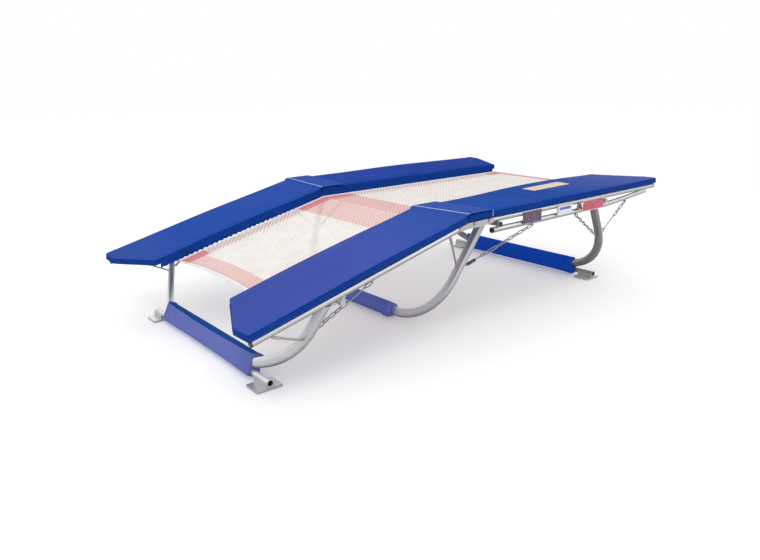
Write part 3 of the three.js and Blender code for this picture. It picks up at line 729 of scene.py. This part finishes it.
def woven(name, fromX, toX):
    columns = round((toX - fromX) / bed["pitch"])
    rows = round(2 * bed["halfWidth"] / bed["pitch"])
    stepX = (toX - fromX) / columns
    stepY = 2 * bed["halfWidth"] / rows
    points, faces = [], []
    halfThick = bed["thickness"] / 2
    spacing = stepY - 2 * bed["margin"] / rows
    ys = [-bed["halfWidth"] + bed["margin"] + spacing * (j + 0.5) for j in range(rows)]

    def strand(spots, crossing):
        first = len(points)
        halfWide = bed["crossing" if crossing else "strand"] / 2
        for x, y, lift in spots:
            for wide, deep in ((-1, -1), (1, -1), (1, 1), (-1, 1)):
                shiftX, shiftY = (wide * halfWide, 0) if crossing else (0, -wide * halfWide)
                points.append(bedSpot(x + shiftX, y + shiftY, lift + deep * halfThick))
        for i in range(len(spots) - 1):
            for k in range(4):
                a, b = first + 4 * i + k, first + 4 * i + (k + 1) % 4
                faces.append((a, b, b + 4, a + 4))
        last = first + 4 * (len(spots) - 1)
        faces.append((first + 3, first + 2, first + 1, first))
        faces.append((last, last + 1, last + 2, last + 3))

    for i in range(columns):
        x = fromX + stepX * (i + 0.5)
        strand([(x, y, bed["lift"] * (1 if (i + j) % 2 else -1)) for j, y in enumerate(ys)], True)
    crossings = len(faces)
    for j, y in enumerate(ys):
        lifts = [bed["lift"] * (-1 if (i + j) % 2 else 1) for i in range(columns)]
        weave = [(fromX + stepX * (i + 0.5), y, lift) for i, lift in enumerate(lifts)]
        strand([(fromX, y, 0), *weave, (toX, y, 0)], False)
    piece = fromPoints(name, points, faces)
    dressed(piece, "net")
    piece.data.materials.append(looks["netThread"])
    for face in piece.data.polygons:
        face.material_index = 0 if face.index < crossings else 1
    only(piece)
    bpy.ops.object.shade_flat()
    return outward(piece)


def ribbon(name, spots, width, thickness, look):
    points, faces = [], []
    for i, spot in enumerate(spots):
        here = Vector(bedSpot(*spot))
        ahead = Vector(bedSpot(*spots[min(i + 1, len(spots) - 1)])) - Vector(bedSpot(*spots[max(i - 1, 0)]))
        across = Vector((-ahead.y, ahead.x, 0)).normalized() * width
        lift = Vector((0, 0, thickness / 2))
        points += [here - lift, here + across - lift, here + across + lift, here + lift]
    for i in range(len(spots) - 1):
        for k in range(4):
            a, b = 4 * i + k, 4 * i + (k + 1) % 4
            faces.append((a, b, b + 4, a + 4))
    last = 4 * (len(spots) - 1)
    faces += [(3, 2, 1, 0), (last, last + 1, last + 2, last + 3)]
    piece = fromPoints(name, points, faces)
    dressed(piece, look)
    return outward(piece)


print("weaving the bed")
slopedNet = woven("sloped_bed_net", bed["lowEnd"] + bed["endGap"], -bed["foldGap"])
levelNet = woven("level_bed_net", bed["foldGap"], bed["highEnd"] - bed["endGap"])


def run(first, last):
    count = max(2, round(abs(last - first) / bed["step"]))
    return [first + (last - first) * i / count for i in range(count + 1)]


webs = []
edge = bed["halfWidth"]
lowRed, highRed = bed["lowEnd"] + bed["lowRedWeb"], bed["highEnd"] - bed["highRedWeb"]
for label, look, first, last in (("low_red", "redWeb", bed["lowEnd"], lowRed),
                                 ("sloped", "web", lowRed, bed["midFrom"]),
                                 ("mid_red_low", "redWeb", bed["midFrom"], 0.0),
                                 ("mid_red_high", "redWeb", 0.0, bed["midTo"]),
                                 ("level", "web", bed["midTo"], highRed),
                                 ("high_red", "redWeb", highRed, bed["highEnd"])):
    xs = run(first, last)
    webs.append(ribbon(f"edge_web_{label}_left", [(x, edge, 0) for x in reversed(xs)],
                       bed["border"], bed["webThickness"], look))
    webs.append(ribbon(f"edge_web_{label}_right", [(x, -edge, 0) for x in xs],
                       bed["border"], bed["webThickness"], look))
ys = run(-edge, edge)
webs.append(ribbon("low_end_web", [(bed["lowEnd"], y, bed["endLift"]) for y in reversed(ys)],
                   bed["endWidth"], bed["endThickness"], "cord"))
webs.append(ribbon("high_end_web", [(bed["highEnd"], y, bed["endLift"]) for y in ys],
                   bed["endWidth"], bed["endThickness"], "redWeb"))
cordOut = edge + bed["cordRadius"] / 2
xs = run(bed["lowEnd"], bed["highEnd"])
for label, spots in (("left", [(x, cordOut, bed["cordRise"]) for x in xs]),
                     ("right", [(x, -cordOut, bed["cordRise"]) for x in xs]),
                     ("low", [(bed["lowEnd"] - bed["endCordOut"], y, bed["endCordRise"]) for y in ys]),
                     ("high", [(bed["highEnd"] + bed["endCordOut"], y, bed["endCordRise"]) for y in ys])):
    cord = beaded(f"edge_cord_{label}", [bedSpot(*spot) for spot in spots], bed["cordRadius"])
    webs.append(dressed(cord, "cord"))
edgeWeb = joined("bed_edge_webbing", webs)
housed(edgeWeb, "frame", "bed_net", "bed_net")
for piece in (slopedNet, levelNet):
    housed(piece, "frame", "bed_net", "bed_net")

# springs

springs = {
    "pitch": 0.048, "turns": 21, "perTurn": 6, "coil": 0.0085, "wire": 0.0017,
    "coilFrom": 0.075, "coilTo": 0.33, "lead": 0.01, "inner": 0.4585, "outer": 0.8775, "rise": 0.0253,
    "innerHook": [(0.004, -0.006), (0.0, -0.002), (0.001, 0.004), (0.012, 0.004)],
    "outerHook": [(-0.008, 0.0), (0.0, 0.004), (0.005, 0.0), (0.002, -0.006)],
    "rodAt": 0.8805, "rodStops": (-1.085, -0.02, 0.02, 1.857), "rodRadius": 0.0032,
}


def springLine():
    s = springs
    reach = s["outer"] - s["inner"]
    line = [(0, y, z) for y, z in s["innerHook"]]
    line.append((0, s["coilFrom"] - s["lead"], 0.0))
    steps = s["turns"] * s["perTurn"]
    for i in range(steps + 1):
        angle = 2 * math.pi * i / s["perTurn"]
        y = s["coilFrom"] + (s["coilTo"] - s["coilFrom"]) * i / steps
        line.append((s["coil"] * math.sin(angle), y, s["coil"] * math.cos(angle)))
    line.append((0, s["coilTo"] + s["lead"], 0.0))
    line += [(0, reach + y, z) for y, z in s["outerHook"]]
    return [(x, y, z + s["rise"] * y / reach) for x, y, z in line]


print("winding springs")
oneSpring = beaded("spring", springLine(), springs["wire"], corners=0)
count = int((bed["highEnd"] - bed["lowEnd"]) / springs["pitch"])
row = []
for i in range(count):
    x = bed["lowEnd"] + springs["pitch"] * (i + 0.5)
    row.append(copied(oneSpring, Matrix.Translation((x + foldAt, springs["inner"], bedLine(x)))))
bpy.data.objects.remove(oneSpring)
hookLine = [Vector((x + foldAt, springs["rodAt"], railLine(x))) for x in springs["rodStops"]]
row.append(beaded("hook_rod", hookLine, springs["rodRadius"]))
springSet = dressed(joined("spring_set_left", row), "spring")
springTwin = mirrored(springSet, "spring_set_right")
housed(springSet, "frame", "spring_steel", "spring_row_left")
housed(springTwin, "frame", "spring_steel", "spring_row_right")

# chains

chainSizes = {"wire": 0.0070, "width": 0.0245, "link": 0.033, "long": 0.080, "sleeve": 0.052,
              "sleeveRadius": 0.010, "sleeveRound": 0.002, "rodRadius": 0.0035,
              "nutShares": (0.06, 0.94), "nutHalf": 0.003, "nutSize": 1.9,
              "eyeRadius": 0.0065, "eyeLength": 0.010}
chains = {
    "front_chain": {"from": (-0.673, 0.900, 0.5040), "to": (-0.9760, 0.7998, 0.2845),
                    "items": ["link", 0.110] + ["link"] * 6},
    "mid_chain": {"from": (0.590, 0.900, 0.6056), "to": (0.1498, 0.7409, 0.3852),
                  "items": ["link"] * 5 + ["long"] * 2 + ["link", 0.040, "sleeve", 0.030]},
    "rear_inner_chain": {"from": (1.040, 0.900, 0.6056), "to": (1.4540, 0.8138, 0.3807),
                         "items": ["link"] * 9 + ["long"]},
    "rear_outer_chain": {"from": (1.640, 0.900, 0.6222), "to": (1.5063, 0.8131, 0.3953),
                         "items": ["link"] * 4 + [0.130, "link"]},
}


def chainLink(length):
    middle = (chainSizes["width"] - chainSizes["wire"]) / 2
    bpy.ops.mesh.primitive_torus_add(major_radius=middle, minor_radius=chainSizes["wire"] / 2,
                                     major_segments=20, minor_segments=8)
    piece = bpy.context.object
    for side in (-1, 1):
        def work():
            pick(piece, "verts", lambda point: point.co.x * side > 0.00001)
            bpy.ops.transform.translate(value=(side * (length - chainSizes["width"]) / 2, 0, 0))
        edited(piece, work)
    return smooth(piece, 60)


def chainPiece(name, chain):
    start, end = Vector(chain["from"]), Vector(chain["to"])
    along = (end - start).normalized()
    lengths = [chainSizes.get(item, item) for item in chain["items"]]
    stretch = ((end - start).length - chainSizes["wire"]) / sum(lengths)
    sideOne = along.cross(Vector((0, 1, 0))).normalized()
    sideTwo = along.cross(sideOne)
    made = []
    reached = 0.0
    for i, (item, length) in enumerate(zip(chain["items"], lengths)):
        span = length * stretch + chainSizes["wire"]
        first = start + along * reached
        last = first + along * span
        if item in ("link", "long"):
            across = sideTwo if i % 2 else sideOne
            turned = Matrix((along, across, along.cross(across))).transposed().to_4x4()
            link = chainLink(span)
            link.data.transform(Matrix.Translation((first + last) / 2) @ turned)
            made.append(link)
        elif item == "sleeve":
            body = rodBetween(first, last, chainSizes["sleeveRadius"], 20)

            def rounded():
                bpy.ops.mesh.select_all(action="SELECT")
                bpy.ops.mesh.bevel(offset=chainSizes["sleeveRound"], segments=2, affect="EDGES")
            edited(body, rounded)
            made.append(dressed(smooth(body), "sleeve"))
        else:
            made.append(smooth(rodBetween(first, last, chainSizes["rodRadius"], 12)))
            half = along * chainSizes["nutHalf"]
            nutRadius = chainSizes["rodRadius"] * chainSizes["nutSize"]
            for share in chainSizes["nutShares"]:
                spot = first.lerp(last, share)
                made.append(rodBetween(spot - half, spot + half, nutRadius, 6))
        reached += length * stretch
    for spot in (start, end):
        reach = Vector((0, chainSizes["eyeLength"] / 2, 0))
        made.append(smooth(rodBetween(spot - reach, spot + reach, chainSizes["eyeRadius"], 20)))
    for part in made:
        if not part.data.materials:
            dressed(part, "chain")
    piece = joined(f"{name}_links_left", made)
    piece.data.transform(Matrix.Translation((foldAt, 0, 0)))
    twin = mirrored(piece, f"{name}_links_right")
    housed(piece, f"{name}_left", "chain_steel", f"{name}_left")
    housed(twin, f"{name}_right", "chain_steel", f"{name}_right")


print("linking chains")
for name, chain in chains.items():
    chainPiece(name, chain)

# crossbars as open tubes

crossbars = {"front": {"x": -1.167, "look": "leg", "slot": "leg_tube"},
             "rear": {"x": 1.640, "look": "rearLeg", "slot": "rear_leg_tube"}}
barTube = {"radius": 0.018, "wall": 0.003, "slack": 0.0003, "reach": 0.705, "height": 0.039, "depth": 0.08}
for leg, settings in crossbars.items():
    x, reach = settings["x"] + foldAt, barTube["reach"]
    piece = rodBetween((x, -reach, barTube["height"]), (x, reach, barTube["height"]), barTube["radius"], 40)
    piece.name = f"{leg}_crossbar_tube"

    def hollow():
        for side in (-1, 1):
            inwards = (0, -side * barTube["depth"], 0)
            pick(piece, "faces", lambda face: face.normal.y * side > 0.9)
            bpy.ops.mesh.inset(thickness=barTube["wall"])
            bpy.ops.mesh.extrude_region_move(TRANSFORM_OT_translate={"value": inwards})
    edited(piece, hollow)
    dressed(piece, settings["look"])
    # the bore faces get the near black painted shade
    piece.data.materials.append(looks["hollow"])
    bore = barTube["radius"] - barTube["wall"] + barTube["slack"]
    for face in piece.data.polygons:
        corners = [piece.data.vertices[i].co for i in face.vertices]
        if all(math.hypot(spot.x - x, spot.z - barTube["height"]) < bore for spot in corners):
            face.material_index = 1
    smooth(piece)
    housed(piece, f"{leg}_leg_frame", settings["slot"], f"{leg}_crossbar")

# finishes of the frame's own pieces

for name, look in {
    "sloped_rail": "rail", "high_rail": "rail", "truss_rail": "rail", "fold_splice": "rail",
    "web_plate_violet": "violet", "web_plate_red": "red", "front_hinge_bracket": "zinc",
    "mid_hinge_bracket": "zinc", "rear_hinge_bracket": "zinc", "rail_cap_low": "black", "truss_cap": "black",
    "front_leg": "leg", "mid_leg": "leg", "rear_leg": "rearLeg", "front_foot": "zinc", "rear_foot": "zinc",
    "mid_foot": "rubber", "front_stay": "stay", "mid_stay": "stay",
}.items():
    for side in sides:
        dressed(nodes[f"{name}_{side}"], look)
dressed(nodes["mid_crossbar"], "leg")

# small pieces on the outer face

outerFace = rails["outerFace"]
labelPlates = {  # "out" is how far the back and the front stand off the outer face
    "bare_label_plate": {"x": (0.812, 0.970), "z": (0.632, 0.690), "out": (0.0, 0.0022), "rim": 0.0006,
                         "look": "label", "slot": "zinc_fitting"},
    "bare_label_band": {"x": (0.836, 0.950), "z": (0.664, 0.680), "out": (0.0023, 0.0029), "rim": 0.0002,
                        "look": "labelBlue", "slot": "violet_plate"},
    "label_tab": {"x": (0.806, 0.824), "z": (0.618, 0.700), "out": (0.0, 0.0034), "rim": 0.0008,
                  "look": "zinc", "slot": "zinc_fitting"},
    "red_plate_rim": {"x": (1.0855, 1.3345), "z": (0.6180, 0.6925), "out": (0.0, 0.0019), "rim": 0.0006,
                      "look": "label", "slot": "zinc_fitting"},
}
ring = {"x": 1.046, "z": 0.662, "outer": 0.024, "inner": 0.012, "depth": 0.0065, "sunk": 0.001,
        "round": 0.0015, "coreRadius": 0.0095, "coreDepth": 0.003}
discs = {
    "washers": {"xs": (0.046, 0.168), "y": (0.9214, 0.9223), "z": 0.69733, "radius": 0.0112},
    "railCap": {"x": (1.9953, 2.0030), "radius": rails["radius"]},
    "hingeCap": {"x": 0.262, "y": (0.9252, 0.9272), "z": 0.6604, "radius": 0.0150},
}


def pairOf(name, piece, look, slotName):
    piece.name = f"{name}_left"
    piece.data.transform(Matrix.Translation((foldAt, 0, 0)))
    dressed(piece, look)
    twin = mirrored(piece, f"{name}_right")
    housed(piece, "frame", slotName)
    housed(twin, "frame", slotName)


print("fitting plates and rings")
for name, plate in labelPlates.items():
    corners = [(x, outerFace + out, z) for x, out, z in zip(plate["x"], plate["out"], plate["z"])]
    pairOf(name, slab(*corners, plate["rim"]), plate["look"], plate["slot"])


def acrossDisc(x, ys, z, radius, corners):
    return rodBetween((x, ys[0], z), (x, ys[1], z), radius, corners)


def ringCollar():
    ys = (outerFace - ring["sunk"], outerFace + ring["depth"])
    piece = acrossDisc(ring["x"], ys, ring["z"], ring["outer"], 40)

    def work():
        pick(piece, "faces", lambda face: face.normal.y > 0.9)
        bpy.ops.mesh.bevel(offset=ring["round"], segments=2, affect="EDGES")
        pick(piece, "faces", lambda face: face.normal.y > 0.9 and len(face.verts) > 8)
        bpy.ops.mesh.inset(thickness=ring["outer"] - ring["inner"] - ring["round"])
        bpy.ops.mesh.extrude_region_move(TRANSFORM_OT_translate={"value": (0, -ring["depth"], 0)})
    edited(piece, work)
    return smooth(piece)


def ringCore():
    ys = (outerFace - ring["sunk"], outerFace + ring["coreDepth"])
    return smooth(acrossDisc(ring["x"], ys, ring["z"], ring["coreRadius"], 24))


def spliceWashers():
    disc = discs["washers"]
    made = [smooth(acrossDisc(x, disc["y"], disc["z"], disc["radius"], 28)) for x in disc["xs"]]
    return joined("washers", made)


def railCap():
    ends = [(x, rails["side"], rails["level"]) for x in discs["railCap"]["x"]]
    return smooth(rodBetween(*ends, discs["railCap"]["radius"], 32))


def hingeCap():
    disc = discs["hingeCap"]
    return smooth(acrossDisc(disc["x"], disc["y"], disc["z"], disc["radius"], 32))


pairOf("ring_collar", ringCollar(), "brass", "zinc_fitting")
# a near black disc in the ring's hole, as painted shade
pairOf("ring_core", ringCore(), "hollow", "black_cap")
pairOf("splice_washers", spliceWashers(), "black", "black_cap")
pairOf("rail_end_cap", railCap(), "capBlue", "black_cap")
pairOf("mid_hinge_cap", hingeCap(), "black", "black_cap")

# badge and piping

badge = {"fromX": 0.872, "toX": 1.262, "inner": 0.590, "outer": 0.690, "thickness": 0.0012,
         "round": 0.0004, "rim": 0.008, "lift": 0.0022, "fieldLift": 0.0027}


def onPadTop(x, y, lift):
    spot = Vector((x, y, lift))
    return padSettle(spot, x < 0)


def badgePlate(name, inset, lift, look):
    piece = slab((badge["fromX"] + inset, badge["inner"] + inset, 0),
                 (badge["toX"] - inset, badge["outer"] - inset, badge["thickness"]), badge["round"])
    for point in piece.data.vertices:
        point.co = onPadTop(point.co.x, point.co.y, point.co.z + lift)
        point.co.z += padArch(point.co, "right")
        point.co.y = -point.co.y
        point.co.x += foldAt
    piece.name = name
    outward(piece)
    dressed(piece, look)
    housed(piece, "frame", "level_vinyl")


badgePlate("bare_badge", 0.0, badge["lift"], "badgeRim")
badgePlate("bare_badge_field", badge["rim"], badge["fieldLift"], "badge")

piping = {"at": -0.001, "radius": 0.0021, "inset": 0.003, "steps": 30,
          "tabRadius": 0.0016, "tabOut": 0.0006, "tabTop": 0.002, "tabReach": 0.034}
pipe = []
for i in range(piping["steps"] + 1):
    reach = (pad["outer"] - pad["inner"] - 2 * piping["inset"]) * i / piping["steps"]
    spot = onPadTop(piping["at"], pad["inner"] + piping["inset"] + reach,
                    foldFlap["rise"] + foldFlap["thickness"])
    pipe.append(spot)
tabLifts = (piping["tabTop"], -piping["tabReach"])
tab = [onPadTop(foldFlap["to"], pad["outer"] + piping["tabOut"], lift) for lift in tabLifts]
foldPieces = [beaded("fold_line", pipe, piping["radius"]), beaded("fold_tab", tab, piping["tabRadius"])]
pairOf("fold_piping", joined("piping", foldPieces), "piping", "sloped_vinyl")

# floor, light, camera


studio = {"floorSize": 60, "floorDrop": 0.0015, "floorGlow": 0.22, "skyLight": 0.82, "skySeen": 0.18}


def stageFloor():
    bpy.ops.mesh.primitive_plane_add(size=studio["floorSize"], location=(0, 0, -studio["floorDrop"]))
    floor = bpy.context.object
    floor.name = "floor"
    made = Finish("pale_floor", roughness=0.9)
    made.set(base_color=made.mix(made.noise(0.6), rgb(0.93, 0.93, 0.93), rgb(0.95, 0.95, 0.95)))
    made.set(emission_color=rgb(1.0, 1.0, 1.0))
    made.set(emission_strength=made.node("LightPath", out="Is Camera Ray") * studio["floorGlow"])
    floor.data.materials.append(made.material)


stageFloor()
world = bpy.data.worlds.new("studio")
bpy.context.scene.world = world
world.use_nodes = True
tree = world.node_tree
background = tree.nodes["Background"]
background.inputs["Color"].default_value = rgb(1.0, 1.0, 1.0)
ray = tree.nodes.new("ShaderNodeLightPath")
seen = Wire(tree, ray.outputs["Is Camera Ray"]) + Wire(tree, ray.outputs["Is Glossy Ray"])
seen = (seen + Wire(tree, ray.outputs["Is Transmission Ray"])) > 0.5
plug(tree, background.inputs["Strength"], seen * studio["skySeen"] + studio["skyLight"])

lamps = {
    "key": {"at": (-3.4, -2.6, 4.2), "power": 60, "size": 2.2},
    "fill": {"at": (2.8, -4.2, 2.6), "power": 14, "size": 3.0},
    "back": {"at": (1.5, 4.5, 3.8), "power": 26, "size": 3.0},
}
for name, lamp in lamps.items():
    light = bpy.data.lights.new(name, "AREA")
    light.energy = lamp["power"]
    light.size = lamp["size"]
    holder = bpy.data.objects.new(name, light)
    bpy.context.collection.objects.link(holder)
    holder.location = lamp["at"]
    holder.rotation_euler = (Vector((0, 0, 0.3)) - Vector(lamp["at"])).to_track_quat("-Z", "Y").to_euler()

view = {"at": (-2.92375, -3.2837, 1.4696), "yaw": 50.0904, "pitch": -17.5475, "roll": -0.5301,
        "focal": 650.38, "centre": (381.261, 282.878), "picture": (760, 560), "sensor": 36}
yaw, pitch, roll = (math.radians(view[key]) for key in ("yaw", "pitch", "roll"))
ahead = Vector((math.cos(pitch) * math.cos(yaw), math.cos(pitch) * math.sin(yaw), math.sin(pitch)))
level = ahead.cross(Vector((0, 0, 1))).normalized()
above = level.cross(ahead)
right = level * math.cos(roll) + above * math.sin(roll)
upward = above * math.cos(roll) - level * math.sin(roll)
camera = bpy.data.objects.new("camera", bpy.data.cameras.new("camera"))
bpy.context.collection.objects.link(camera)
camera.matrix_world = Matrix.Translation(view["at"]) @ Matrix((right, upward, -ahead)).transposed().to_4x4()
wide, tall = view["picture"]
camera.data.sensor_width = view["sensor"]
camera.data.lens = view["sensor"] * view["focal"] / wide
camera.data.shift_x = (wide / 2 - view["centre"][0]) / wide
camera.data.shift_y = (view["centre"][1] - tall / 2) / wide
camera.data.clip_end = 200
bpy.context.scene.camera = camera
bpy.context.scene.view_settings.view_transform = "Standard"
